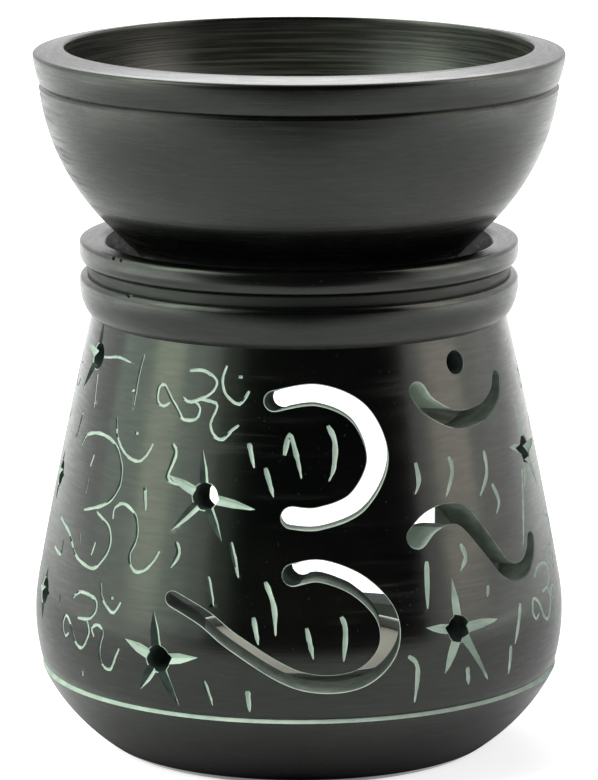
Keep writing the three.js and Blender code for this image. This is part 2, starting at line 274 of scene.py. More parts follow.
# Chips knocked out of the collar: degrees round, height, radius from the axis, size
CHIPS = [(-50, 68.2, 31.1, 0.8), (-47.5, 68.9, 31.1, 0.5), (-56, 72.7, 31.1, 0.5), (-52.5, 72.8, 31.1, 0.45),
         (63, 68.0, 31.2, 0.5), (140, 72.7, 31.2, 0.6)]
CHIP_SHAPE = (1.6, 1.0, 0.8)

# Painted shade in the cuts, as darker finishes: on the flanks that look to the right in the scratches on the
# left, away from the light; on the walls of the side panel apart from the left ends of the tail and the
# crescent; and on the walls of the lower bow, deepest at its left end. The collar gap takes the dull wax. In
# degrees round, and in millimetres across, up from the sign's middle or in from the outside
FLANK_FROM = -90
FLANK_TO = -14
FLANK_TURN = 0.4
PANEL_FROM = 15
PANEL_TO = 90
TAIL_UNSHADED_TO = -6.5
CRESCENT_UNSHADED_TO = -2
CRESCENT_FOOT = 10
BOW_WITHIN = 40
BOW_TOP = -3
BOW_DEEP_SHADE_TO = -13
ARRIS_DEPTH = 0.3
GAP_WAX = 0.7


# Modelling


def select_only(*pieces):
    bpy.ops.object.select_all(action="DESELECT")
    for piece in pieces:
        piece.select_set(True)
    bpy.context.view_layer.objects.active = pieces[0]


class Profile:
    """A turning profile of (radius, height), drawn from point to point."""

    def __init__(self, radius, height):
        self.path = [Vector((radius, height))]
        self.edges = {}

    def line(self, radius, height, edge=0.0):
        """A straight line to a point. With an edge, the corner there is rubbed round by that much."""
        self.path.append(Vector((radius, height)))
        if edge:
            self.edges[len(self.path) - 1] = edge
        return self

    def bend(self, control, radius, height, steps=CURVE_STEPS, edge=0.0):
        """A curve to a point, pulled towards its control point. It can end in a rubbed corner."""
        start, control, end = self.path[-1], Vector(control), Vector((radius, height))
        for step in range(1, steps + 1):
            t = step / steps
            self.path.append(start.lerp(control, t).lerp(control.lerp(end, t), t))
        if edge:
            self.edges[len(self.path) - 1] = edge
        return self

    def ridged(self, radius, height):
        """A line to a point with the tool ridges of a wall that was hollowed and left unpolished."""
        start, end = self.path[-1], Vector((radius, height))
        steps = 2 * round((end - start).length / RIDGE_PITCH)
        for step in range(1, steps):
            ridge = Vector((RIDGE_DEPTH * (step % 2), 0))
            self.path.append(start.lerp(end, step / steps) - ridge)
        self.path.append(end)
        return self

    def points(self, row):
        """The finished profile: edges rubbed round, and no step longer than a row."""
        soft = []
        for index, corner in enumerate(self.path):
            if index not in self.edges:
                soft.append(corner)
                continue
            edge = self.edges[index]
            start = corner + (self.path[index - 1] - corner).normalized() * edge
            end = corner + (self.path[index + 1] - corner).normalized() * edge
            soft += [start.lerp(corner, t).lerp(corner.lerp(end, t), t) for t in (0, 0.25, 0.5, 0.75, 1)]
        fine = [soft[0]]
        for start, end in zip(soft, soft[1:]):
            steps = max(1, round((end - start).length / row))
            fine += [start.lerp(end, step / steps) for step in range(1, steps + 1)]
        return fine


def drawn(name, points):
    """One vertex drawn out from point to point, left open in edit mode with all of it selected."""
    bpy.ops.object.select_all(action="DESELECT")
    bpy.ops.mesh.primitive_plane_add(size=MM)
    line = bpy.context.object
    line.name = name
    bpy.ops.object.mode_set(mode="EDIT")
    bpy.ops.mesh.merge(type="CENTER")
    bpy.ops.transform.translate(value=points[0])
    for start, end in zip(points, points[1:]):
        bpy.ops.mesh.extrude_region_move(TRANSFORM_OT_translate={"value": end - start})
    bpy.ops.mesh.select_all(action="SELECT")
    return line


def close_mesh():
    bpy.ops.mesh.select_all(action="SELECT")
    bpy.ops.mesh.remove_doubles(threshold=WELD * MM)
    bpy.ops.mesh.normals_make_consistent(inside=False)
    bpy.ops.object.mode_set(mode="OBJECT")


def turned(name, profile, sides=TURNED_SIDES, row=STONE_ROW):
    piece = drawn(name, [Vector((r, 0, z)) * MM for r, z in profile.points(row)])
    bpy.ops.mesh.spin(steps=sides, angle=2 * math.pi, center=(0, 0, 0), axis=(0, 0, 1))
    close_mesh()
    return piece


def smooth_line(corners, step):
    """Points a step apart at most along a smooth line that passes through the corners."""
    corners = [Vector((*corner, 0)) for corner in corners]
    line = [corners[0]]
    for index, (start, end) in enumerate(zip(corners, corners[1:])):
        before = corners[max(index - 1, 0)]
        after = corners[min(index + 2, len(corners) - 1)]
        leave = start + (end - before) / 6
        arrive = end - (after - start) / 6
        count = max(2, math.ceil((end - start).length / step) + 1)
        line += geometry.interpolate_bezier(start, leave, arrive, end, count)[1:]
    return line


def along(line):
    """How far along a line each of its points is, from 0 to 1."""
    lengths = [0.0]
    for start, end in zip(line, line[1:]):
        lengths.append(lengths[-1] + (end - start).length)
    return [length / lengths[-1] for length in lengths]


def stroke_outline(stroke, short=0.0):
    """Both edges of a pierced stroke's centre line and its round ends, as (across, height). The start can
    be left short."""
    corners, widths = stroke
    line = smooth_line([(across, SIGN_Z + up) for across, up in corners], GROOVE_STEP)
    line = [point for point in line if (point - line[0]).length >= short]
    left, right = [], []
    for index, t in enumerate(along(line)):
        ahead = line[min(index + 1, len(line) - 1)] - line[max(index - 1, 0)]
        side = Vector((-ahead.y, ahead.x, 0)).normalized() * (widths[0] + (widths[1] - widths[0]) * t) / 2
        left.append(line[index] + side)
        right.insert(0, line[index] - side)
    return left + round_end(line[-1], left[-1]) + right + round_end(line[0], right[-1])


def round_end(middle, start, steps=8):
    return [middle + turn_about(start - middle, -180 * step / steps) for step in range(1, steps)]


def round_hole(across, height, radius):
    middle = Vector((across, height, 0))
    return [middle + turn_about((radius, 0, 0), degrees) for degrees in range(0, 360, 360 // ROUND_STEPS)]


def turn_about(point, degrees):
    x, y, z = point
    a = math.radians(degrees)
    return Vector((x * math.cos(a) - y * math.sin(a), x * math.sin(a) + y * math.cos(a), z))


def straight_wall_r(height):
    """The radius of the body's outside without its bow."""
    return BELLY_TOP_R - TAPER * (height - BELLY_TOP_Z)


def leaning(height, lean, reach):
    """The height, at a reach from the axis, of a cut that leans up outward and meets the wall at a height."""
    return height + lean * (reach - straight_wall_r(height))


def wall_punch(outline, degrees, lean=0.0):
    """A flat outline (across, height) driven through the wall on one side, level or leaning up outward."""
    inner = [turn_about((p.x, -CUT_INNER, leaning(p.y, lean, CUT_INNER)), degrees) * MM for p in outline]
    punch = drawn("punch", inner)
    bpy.ops.mesh.edge_face_add()
    through = CUT_OUTER - CUT_INNER
    reach = turn_about((0, -through, lean * through), degrees) * MM
    bpy.ops.mesh.extrude_region_move(TRANSFORM_OT_translate={"value": reach})
    close_mesh()
    return punch


def drill(across, height, radius, degrees, lean=0.0, slant=0.0):
    """A round bit through the wall on one side, which can lean up outward or slant to the right inward."""
    reach = (CUT_INNER + CUT_OUTER) / 2
    aside = across - slant * (reach - straight_wall_r(height))
    middle = turn_about((aside, -reach, leaning(height, lean, reach)), degrees) * MM
    outward = turn_about((-slant, -1, lean), degrees)
    bpy.ops.object.select_all(action="DESELECT")
    bpy.ops.mesh.primitive_cylinder_add(
        vertices=ROUND_STEPS, radius=radius * MM, depth=(CUT_OUTER - CUT_INNER) * MM, location=middle,
        rotation=outward.to_track_quat("Z", "Y").to_euler())
    bpy.ops.object.transform_apply()
    return bpy.context.object


def window_outline():
    spring = Vector((0, SILL_Z + WINDOW_H - WINDOW_R, 0))
    corner = Vector((WINDOW_R - SILL_CORNER_R, SILL_Z + SILL_CORNER_R, 0))
    arcs = [(spring, WINDOW_R, 0, 180), (corner * Vector((-1, 1, 0)), SILL_CORNER_R, 180, 270),
            (corner, SILL_CORNER_R, 270, 360)]
    return [middle + turn_about((radius, 0, 0), start + (end - start) * step / ROUND_STEPS)
            for middle, radius, start, end in arcs for step in range(ROUND_STEPS + 1)]


def grooves(name, lines):
    """Round cutters along lines of (point, radius), closed rings where a line ends on its start."""
    curve = bpy.data.curves.new(name, "CURVE")
    curve.dimensions = "3D"
    curve.bevel_depth = MM
    curve.bevel_resolution = GROOVE_SIDES
    curve.use_fill_caps = True
    for line in lines:
        ring = line[0] == line[-1]
        marks = line[:-1] if ring else line
        spline = curve.splines.new("POLY")
        spline.points.add(len(marks) - 1)
        spline.use_cyclic_u = ring
        for mark, (point, radius) in zip(spline.points, marks):
            mark.co = (*point, 1)
            mark.radius = radius
    cutter = bpy.data.objects.new(name, curve)
    bpy.context.scene.collection.objects.link(cutter)
    select_only(cutter)
    bpy.ops.object.convert(target="MESH")
    bpy.ops.object.mode_set(mode="EDIT")
    close_mesh()
    return cutter


def cut(stone, cutters, finish):
    """Takes cutters that don't touch each other out of a stone, and leaves the cut in one of its finishes."""
    select_only(*cutters)
    if len(cutters) > 1:
        bpy.ops.object.join()
    cutter = bpy.context.object
    cutter.data.materials.clear()
    for material in stone.data.materials:
        cutter.data.materials.append(material)
    for face in cutter.data.polygons:
        face.material_index = finish
    select_only(stone)
    bpy.ops.object.modifier_add(type="BOOLEAN")
    difference = stone.modifiers[-1]
    difference.operation = "DIFFERENCE"
    difference.solver = "MANIFOLD"
    difference.object = cutter
    bpy.ops.object.modifier_apply(modifier=difference.name)
    bpy.data.objects.remove(cutter)


def clear_slivers(stone):
    """Dissolves the faces without width that cuts leave where they just touch."""
    select_only(stone)
    bpy.ops.object.mode_set(mode="EDIT")
    bpy.ops.mesh.select_all(action="SELECT")
    bpy.ops.mesh.quads_convert_to_tris()
    bpy.ops.mesh.dissolve_degenerate(threshold=SLIVER * MM)
    bpy.ops.mesh.quads_convert_to_tris()
    bpy.ops.mesh.delete_loose()
    bpy.ops.object.mode_set(mode="OBJECT")


def smooth(piece, degrees=32):
    select_only(piece)
    bpy.ops.object.shade_smooth_by_angle(angle=math.radians(degrees))


# Materials


class Wire:
    """A shader socket that Python sums can be written with."""

    def __init__(self, tree, socket):
        self.tree = tree
        self.socket = socket

    def math(self, operation, other):
        return node(self.tree, "ShaderNodeMath", {"operation": operation}, {0: self, 1: other})

    def __add__(self, other):
        return self.math("ADD", other)

    __radd__ = __add__

    def __mul__(self, other):
        return self.math("MULTIPLY", other)

    __rmul__ = __mul__


def node(tree, kind, settings=None, sockets=None, out=0):
    """A new node: its settings first, then the value or the link of each socket."""
    made = tree.nodes.new(kind)
    for name, value in (settings or {}).items():
        setattr(made, name, value)
    for name, value in (sockets or {}).items():
        socket = made.inputs[name]
        if isinstance(value, Wire):
            tree.links.new(value.socket, socket)
        else:
            socket.default_value = value
    return Wire(tree, made.outputs[out])


def finish(name, surface):
    """A material whose shader comes from a function of its node tree."""
    material = bpy.data.materials.new(name)
    material.use_nodes = True
    tree = material.node_tree
    tree.nodes.clear()
    output = tree.nodes.new("ShaderNodeOutputMaterial")
    tree.links.new(surface(tree).socket, output.inputs["Surface"])
    return material


def blend(tree, factor, first, second):
    return node(tree, "ShaderNodeMix", {"data_type": "RGBA"}, {"Factor": factor, 6: first, 7: second}, 2)


def noise(tree, at, scale, detail=3.0, roughness=0.55):
    return node(tree, "ShaderNodeTexNoise", None,
                {"Vector": at, "Scale": scale, "Detail": detail, "Roughness": roughness})


def turning_place(tree, around, profile):
    """Object coordinates drawn out round the turning axis, so that a pattern on them runs in rings."""
    place = node(tree, "ShaderNodeTexCoord", out=3)
    axes = [node(tree, "ShaderNodeSeparateXYZ", None, {0: place}, axis) for axis in range(3)]
    radius = node(tree, "ShaderNodeVectorMath", {"operation": "LENGTH"}, {
        0: node(tree, "ShaderNodeVectorMath", {"operation": "MULTIPLY"}, {0: place, 1: (1, 1, 0)})}, 1)
    rings = (axes[2] + radius) * profile
    return node(tree, "ShaderNodeCombineXYZ", None, {0: axes[0] * around, 1: axes[1] * around, 2: rings})


def ramp(tree, value, low, high):
    """0 below low, 1 above high and smooth between."""
    return node(tree, "ShaderNodeMapRange", {"interpolation_type": "SMOOTHSTEP"},
                {"Value": value, "From Min": low, "From Max": high})


def bump(tree, height, strength, depth):
    return node(tree, "ShaderNodeBump", None,
                {"Height": height, "Strength": strength, "Distance": depth * MM})


def waxed_stone(polish, marks):
    """Black soapstone, waxed and rubbed up to a polish, with turning marks, cloudy wax and a little dust."""

    def surface(tree):
        place = node(tree, "ShaderNodeTexCoord", out=3)
        clouds = noise(tree, place, 55.0)
        fine_marks = noise(tree, turning_place(tree, 25.0, 2600.0), 1.0, 2.0)
        coarse_marks = noise(tree, turning_place(tree, 12.0, 620.0), 1.0, 3.0)
        grain = noise(tree, place, 2400.0, 2.0)
        dust = ramp(tree, noise(tree, place, 2600.0, 1.0), 0.74, 0.79)
        stone = blend(tree, ramp(tree, clouds, 0.35, 0.7),
                      (0.0012, 0.0016, 0.0015, 1), (0.004, 0.0042, 0.0036, 1))
        scuffs = ramp(tree, noise(tree, turning_place(tree, 60.0, 900.0), 1.0, 3.0), 0.5, 0.76) * ramp(
            tree, noise(tree, place, 38.0, 2.0), 0.46, 0.72)
        dusty = blend(tree, dust * 0.25, stone, (0.08, 0.085, 0.078, 1))
        colour = blend(tree, scuffs * (0.5 * marks), dusty, (0.05, 0.05, 0.043, 1))
        rough = (polish + 0.1 * clouds + marks * 0.2 * coarse_marks + marks * 0.08 * fine_marks + 0.2 * dust
                 + scuffs * (0.3 * marks))
        film = ramp(tree, noise(tree, turning_place(tree, 300.0, 2800.0), 1.0, 3.0), 0.35, 0.7)
        height = fine_marks * marks + coarse_marks * (2.0 * marks) + grain * 0.3
        return node(tree, "ShaderNodeBsdfPrincipled", None, {
            "Base Color": colour, "Roughness": rough, "IOR": 1.6, "Specular Tint": (0.96, 1, 0.94, 1),
            "Coat Weight": film * 0.2, "Coat Roughness": 0.16,
            "Normal": bump(tree, height, 0.35, 0.03)})

    return surface


def oiled_hollow(tree):
    """The inside of the dish: turned, rubbed with oil but not waxed up, so paler and streaked."""
    place = node(tree, "ShaderNodeTexCoord", out=3)
    clouds = noise(tree, place, 90.0)
    streaks = noise(tree, turning_place(tree, 45.0, 2300.0), 1.0, 3.0)
    stone = blend(tree, ramp(tree, clouds, 0.3, 0.7), (0.009, 0.01, 0.008, 1), (0.021, 0.021, 0.017, 1))
    colour = blend(tree, ramp(tree, streaks, 0.42, 0.72), stone, (0.065, 0.068, 0.056, 1))
    return node(tree, "ShaderNodeBsdfPrincipled", None, {
        "Base Color": colour, "Roughness": 0.15 + 0.25 * streaks, "IOR": 1.6,
        "Normal": bump(tree, streaks, 0.5, 0.05)})


def carved_stone(tree):
    """The stone's own pale grey-green where a scratched line goes through the black wax."""
    place = node(tree, "ShaderNodeTexCoord", out=3)
    clouds = noise(tree, place, 350.0)
    grain = noise(tree, place, 2600.0, 2.0)
    colour = blend(tree, ramp(tree, clouds, 0.3, 0.7), (0.42, 0.53, 0.46, 1), (0.58, 0.69, 0.6, 1))
    return node(tree, "ShaderNodeBsdfPrincipled", None, {
        "Base Color": colour, "Roughness": 0.75 + 0.15 * grain,
        "Normal": bump(tree, grain, 0.5, 0.05)})


def sawn_stone(tree):
    """The walls of the pierced strokes: grey-green and filed. Walls in shade take painted shade instead."""
    place = node(tree, "ShaderNodeTexCoord", out=3)
    clouds = noise(tree, place, 260.0)
    file_marks = noise(tree, turning_place(tree, 1400.0, 90.0), 1.0, 2.0)
    colour = blend(tree, ramp(tree, clouds, 0.3, 0.7), (0.42, 0.5, 0.44, 1), (0.62, 0.71, 0.63, 1))
    return node(tree, "ShaderNodeBsdfPrincipled", None, {
        "Base Color": colour, "Roughness": 0.45 + 0.25 * file_marks,
        "Normal": bump(tree, file_marks, 0.4, 0.06)})


def painted_shade_cut(deep, mild):
    """Painted shade for cuts that lie in shade: dark grey-green, clouded between its deep and mild colours.
    """

    def surface(tree):
        place = node(tree, "ShaderNodeTexCoord", out=3)
        clouds = noise(tree, place, 420.0)
        colour = blend(tree, ramp(tree, clouds, 0.3, 0.7), (*deep, 1), (*mild, 1))
        return node(tree, "ShaderNodeBsdfPrincipled", None, {
            "Base Color": colour, "Roughness": 0.6 + 0.25 * clouds, "Specular IOR Level": 0.15,
            "Normal": bump(tree, clouds, 0.4, 0.05)})

    return surface


def hollowed_stone(tree):
    """The unpolished inside of the body."""
    place = node(tree, "ShaderNodeTexCoord", out=3)
    clouds = noise(tree, place, 160.0)
    marks = noise(tree, turning_place(tree, 30.0, 1500.0), 1.0, 2.0)
    colour = blend(tree, ramp(tree, clouds, 0.3, 0.7), (0.28, 0.31, 0.27, 1), (0.48, 0.51, 0.45, 1))
    return node(tree, "ShaderNodeBsdfPrincipled", None, {
        "Base Color": colour, "Roughness": 0.62 + 0.2 * marks,
        "Normal": bump(tree, marks, 0.5, 0.06)})


def cup_foil(tree):
    """Bright pressed aluminium with the faint upright draw marks of a pressed cup."""
    place = node(tree, "ShaderNodeTexCoord", out=3)
    draw_marks = noise(tree, turning_place(tree, 700.0, 40.0), 1.0, 2.0)
    dull = noise(tree, place, 300.0)
    return node(tree, "ShaderNodeBsdfPrincipled", None, {
        "Base Color": (0.7, 0.71, 0.71, 1), "Metallic": 1.0,
        "Roughness": 0.55 + 0.2 * draw_marks + 0.1 * dull,
        "Normal": bump(tree, draw_marks, 0.35, 0.08)})


def candle_wax(tree):
    """Off-white wax, faintly cloudy, with a soft skin."""
    place = node(tree, "ShaderNodeTexCoord", out=3)
    clouds = noise(tree, place, 180.0)
    skin = noise(tree, place, 900.0, 2.0)
    colour = blend(tree, clouds, (0.71, 0.69, 0.54, 1), (0.77, 0.75, 0.61, 1))
    return node(tree, "ShaderNodeBsdfPrincipled", None, {
        "Base Color": colour, "Roughness": 0.45 + 0.2 * skin, "Specular IOR Level": 0.25,
        "Subsurface Weight": 0.2, "Subsurface Scale": 2.5 * MM, "Subsurface Radius": (1.0, 0.95, 0.75),
        "Normal": bump(tree, skin, 0.25, 0.08)})


def wick_cotton(tree):
    """Braided cotton stiffened with wax."""
    place = node(tree, "ShaderNodeTexCoord", out=3)
    fibres = noise(tree, place, 5200.0, 2.0)
    colour = blend(tree, fibres, (0.66, 0.62, 0.52, 1), (0.86, 0.83, 0.74, 1))
    return node(tree, "ShaderNodeBsdfPrincipled", None, {
        "Base Color": colour, "Roughness": 0.8 + 0.15 * fibres,
        "Normal": bump(tree, fibres, 0.6, 0.05)})


def tab_tin(tree):
    """Thin tinned steel, rolled."""
    place = node(tree, "ShaderNodeTexCoord", out=3)
    rolled = noise(tree, place, 1800.0, 2.0)
    return node(tree, "ShaderNodeBsdfPrincipled", None, {
        "Base Color": (0.6, 0.61, 0.62, 1), "Metallic": 1.0, "Roughness": 0.28 + 0.2 * rolled})


# Painted shade comes as a deep and a light finish, dark stand-ins for cut stone that lies in shade
BODY_WAX, CARVED, SAWN, HOLLOW, PAINTED_SHADE, DULL_WAX, LIGHT_PAINTED_SHADE = range(7)
stone_finishes = [
    finish("waxed_stone", waxed_stone(0.07, 0.55)), finish("carved_stone", carved_stone),
    finish("sawn_stone", sawn_stone), finish("hollowed_stone", hollowed_stone),
    finish("painted_shade_cut", painted_shade_cut((0.028, 0.042, 0.038), (0.075, 0.1, 0.088))),
    finish("dull_waxed_stone", waxed_stone(0.5, 0.2)),
    finish("thinly_painted_shade_cut", painted_shade_cut((0.18, 0.22, 0.19), (0.31, 0.36, 0.315))),
]


# Body

line_foot = BASE_LINE_Z - LINE_W / 2
line_top = BASE_LINE_Z + LINE_W / 2
gap_r = COLLAR_R - RING_GAP_DEPTH
gap_foot = COLLAR_Z - RING_GAP_W / 2
gap_top = COLLAR_Z + RING_GAP_W / 2
belly_swell = (2 * BELLY_R - (BASE_LINE_R + BELLY_TOP_R) / 2, (line_top + BELLY_TOP_Z) / 2)
bore_foot = SEAT_Z - BORE_H
hollow_top = bore_foot - BORE_FLARE_H
hollow_top_r = NECK_R + (NECK_Z - hollow_top) * TAPER - WALL
wall_swell = ((BELLY_TOP_R + NECK_R) / 2 + 2 * WALL_BOW, (BELLY_TOP_Z + NECK_Z) / 2)

wall_line = (
    Profile(BASE_LINE_R, line_top)
    .bend(belly_swell, BELLY_TOP_R, BELLY_TOP_Z)
    .bend(wall_swell, NECK_R, NECK_Z, 2 * CURVE_STEPS)
    .path
)


def wall_r(height):
    """The radius of the body's outside between the base line and the neck."""
    for low, high in zip(wall_line, wall_line[1:]):
        if height <= high.y:
            break
    return low.x + (high.x - low.x) * (height - low.y) / (high.y - low.y)


def on_wall(degrees, height, lift=0.0):
    """A point on the outside of the body, or a little off it."""
    return turn_about((0, -wall_r(height) - lift, height), degrees) * MM


def on_panel(across, height, degrees, lean):
    """Where a line driven in on one side meets the outside of the body."""
    level = height
    for nearer in range(PANEL_TRIES):
        reach = math.sqrt(wall_r(level) ** 2 - across ** 2)
        level = leaning(height, lean, reach)
    return turn_about((across, -reach, level), degrees) * MM


def pressure(t, lightest):
    """The share of its full width that a scratched line has along its length: heavy where the point
    went in, light where it ran out, and a little unsteady."""
    going_in = min(1.0, PRESS_START + PRESS_RISE * t)
    running_out = min(1.0, lightest + PRESS_FALL * (1 - t))
    return going_in * running_out * (1 + WAVER * math.sin(WAVER_TURN * t))


def scratched(corners, gauge, lightest=DASH_LIGHTEST):
    """A scratched line through (degrees, height) points, as marks for a round cutter."""
    per_degree = math.radians(wall_r(corners[0][1]))
    line = smooth_line([(degrees * per_degree, height) for degrees, height in corners], GROOVE_STEP)
    return [(on_wall(p.x / per_degree, p.y, GROOVE_LIFT), gauge * pressure(t, lightest))
            for p, t in zip(line, along(line))]


def sign_stroke(stroke, degrees, height):
    """One stroke of a scratched sign. Two points are a pip."""
    per_mm = 1 / math.radians(wall_r(height))
    gauge = PIP_R if len(stroke) == 2 else SIGN_R
    corners = [(degrees + across * per_mm, height + up) for across, up in stroke]
    return scratched(corners, gauge, SIGN_LIGHTEST)


def star_arm(degrees, height, direction, length):
    """A blade laid along the wall, which cuts a V from a star's middle out to its tip."""
    per_mm = 1 / math.radians(wall_r(height))
    a = math.radians(direction)
    root = on_wall(degrees, height, ARM_RISE)
    tip = on_wall(degrees + length * math.cos(a) * per_mm, height + length * math.sin(a), ARM_RISE)
    ahead = tip - root
    outward = (on_wall(degrees, height, 1) - on_wall(degrees, height)).normalized() * ARM_DEPTH * MM
    side = ahead.cross(outward).normalized() * ARM_W / 2 * MM
    arm = drawn("star_arm", [root + side, root + outward, root - side, root - outward])
    bpy.ops.mesh.edge_face_add()
    for share, taper in ((ARM_SHOULDER, ARM_SHOULDER_W), (1 - ARM_SHOULDER, ARM_TIP_W)):
        bpy.ops.mesh.extrude_region_move(TRANSFORM_OT_translate={"value": ahead * share})
        bpy.ops.transform.resize(value=(taper, taper, taper))
    close_mesh()
    return arm


def chip(degrees, height, radius, size):
    """A rough lump, turned any way, that knocks a chip out of an edge."""
    bpy.ops.object.select_all(action="DESELECT")
    bpy.ops.mesh.primitive_ico_sphere_add(subdivisions=1, radius=size * MM,
                                          location=turn_about((0, -radius, height), degrees) * MM,
                                          rotation=(height, degrees, radius))
    lump = bpy.context.object
    lump.scale = CHIP_SHAPE
    bpy.ops.object.transform_apply()
    return lump


def edge_ring(outline, degrees, lean):
    """A fine round cutter along the arris of a pierced stroke or hole."""
    ring = [(on_panel(p.x, p.y, degrees, lean), ARRIS) for p in outline]
    return ring + ring[:1]


body_profile = (
    Profile(0, 0)
    .line(BASE_R, 0, BASE_EDGE)
    .bend(FOOT_SWELL, BASE_LINE_R, line_foot)
    .line(BASE_LINE_R - LINE_DEPTH, BASE_LINE_Z)
    .line(BASE_LINE_R, line_top)
    .bend(belly_swell, BELLY_TOP_R, BELLY_TOP_Z)
    .bend(wall_swell, NECK_R, NECK_Z, 2 * CURVE_STEPS)
    .bend((COLLAR_R, NECK_Z + LOWER_RING_H / 4), COLLAR_R, NECK_Z + LOWER_RING_H * 3 / 4)
    .bend((COLLAR_R, gap_foot), gap_r, gap_foot)
    .line(gap_r, gap_top)
    .bend((COLLAR_R, gap_top + RING_ROUND / 3), COLLAR_R, gap_top + RING_ROUND)
    .line(COLLAR_R, BODY_H, RING_EDGE)
    .line(MOUTH_R, BODY_H, MOUTH_EDGE)
    .line(SEAT_R, SEAT_Z)
    .line(BORE_R, SEAT_Z, BASE_EDGE / 2)
    .line(BORE_R, bore_foot)
    .line(hollow_top_r, hollow_top)
    .ridged(BELLY_TOP_R - WALL, BELLY_TOP_Z)
    .bend((BELLY_R - WALL, FLOOR_T), FLOOR_R, FLOOR_T)
    .line(0, FLOOR_T)
)
body = turned("soapstone_body", body_profile)
for material in stone_finishes:
    body.data.materials.append(material)
for face in body.data.polygons:
    radius, height = face.center.to_2d().length / MM, face.center.z / MM
    inward = face.normal.dot(Vector((*face.center.to_2d(), 0))) < 0
    inside = inward or height > FLOOR_T - SKIN and radius < MOUTH_R
    in_gap = radius < COLLAR_R - GAP_WAX and gap_foot < height < gap_top
    if inside and FLOOR_T - SKIN < height < SEAT_Z + SKIN:
        face.material_index = HOLLOW
    elif inside and height < BODY_H - MOUTH_EDGE or in_gap:
        face.material_index = DULL_WAX
    # The base line's upper, downward-facing side keeps the black wax as painted shade; only its lower side is
    # pale
    elif line_foot < height < BASE_LINE_Z and radius > FLOOR_R:
        face.material_index = CARVED

pierced = [(UPPER_BOW, 0, CUT_LEAN), (LOWER_BOW, 0, 0.0), (TAIL, SIDE_PANEL, CUT_LEAN),
           (CRESCENT, SIDE_PANEL, CUT_LEAN)]
start_holes = []
for stroke, degrees, lean in pierced[:2]:
    (across, up), ahead = stroke[0][:2]
    rise = (ahead[1] - up) / (ahead[0] - across)
    outline = stroke_outline(stroke, START_SHORT * WALL * END_SLANT)
    cut(body, [wall_punch(outline, degrees, lean)], SAWN)
    start_holes.append(
        drill(across, SIGN_Z + up, stroke[1][0] / 2, degrees, lean - END_SLANT * rise, END_SLANT))
# The start holes are left in painted shade
cut(body, start_holes, PAINTED_SHADE)
cut(body, [wall_punch(stroke_outline(stroke), degrees, lean) for stroke, degrees, lean in pierced[2:]],
    SAWN)
# The window's sill, jambs and arch are left in painted shade
cut(body, [wall_punch(window_outline(), 180)], PAINTED_SHADE)
holes = [(DOT[0], SIGN_Z + DOT[1], DOT[2], SIDE_PANEL, CUT_LEAN)]
holes += [(0, SIGN_Z + up, STAR_HOLE_R, degrees, CUT_LEAN if up > 0 else 0.0)
          for degrees, up, arms in STARS]
# The dot and the star holes are left in painted shade
cut(body, [drill(*hole) for hole in holes], PAINTED_SHADE)
arrises = [edge_ring(stroke_outline(stroke), degrees, lean) for stroke, degrees, lean in pierced]
arrises += [edge_ring(round_hole(across, height, radius), degrees, lean)
            for across, height, radius, degrees, lean in holes]
cut(body, [grooves("arrises", arrises)], SAWN)
cut(body, [chip(*place) for place in CHIPS], BODY_WAX)

# The strokes of a sign and the arms of a star meet, so each layer cuts only one of each
layers = max(len(strokes) for strokes, degrees, height in SIGNS)
for layer in range(layers):
    lines = [sign_stroke(strokes[layer], degrees, height) for strokes, degrees, height in SIGNS
             if layer < len(strokes)]
    if layer == 0:
        lines += [scratched(dash, DASH_R) for dash in DASHES]
    if layer == 1:
        lines += [scratched(slip, SLIP_R) for slip in SLIPS]
    cut(body, [grooves("scratches", lines)], CARVED)
    if layer < len(STAR_ARMS):
        cut(body, [star_arm(degrees, SIGN_Z + up, *arms[layer]) for degrees, up, arms in STARS
                   if layer < len(arms)], CARVED)

# Painted shade: right-facing flanks on the left, the side panel's walls but the tail's and crescent's left
# ends, and the lower bow's walls
for face in body.data.polygons:
    radius, height = face.center.to_2d().length / MM, face.center.z / MM
    degrees = math.degrees(math.atan2(face.center.x, -face.center.y))
    rightward = turn_about(face.normal, -degrees).x
    across = turn_about(face.center, -SIDE_PANEL).x / MM
    unshaded_to = CRESCENT_UNSHADED_TO if height > SIGN_Z + CRESCENT_FOOT else TAIL_UNSHADED_TO
    in_bow = abs(degrees) < BOW_WITHIN and height < SIGN_Z + BOW_TOP
    if face.material_index == CARVED and FLANK_FROM < degrees < FLANK_TO and rightward > FLANK_TURN:
        face.material_index = PAINTED_SHADE
    elif face.material_index == SAWN and PANEL_FROM < degrees < PANEL_TO and across > unshaded_to:
        face.material_index = LIGHT_PAINTED_SHADE
    elif face.material_index == SAWN and in_bow and wall_r(height) - radius > ARRIS_DEPTH:
        face.material_index = LIGHT_PAINTED_SHADE if face.center.x / MM > BOW_DEEP_SHADE_TO else PAINTED_SHADE
clear_slivers(body)
smooth(body)


# Oil dish

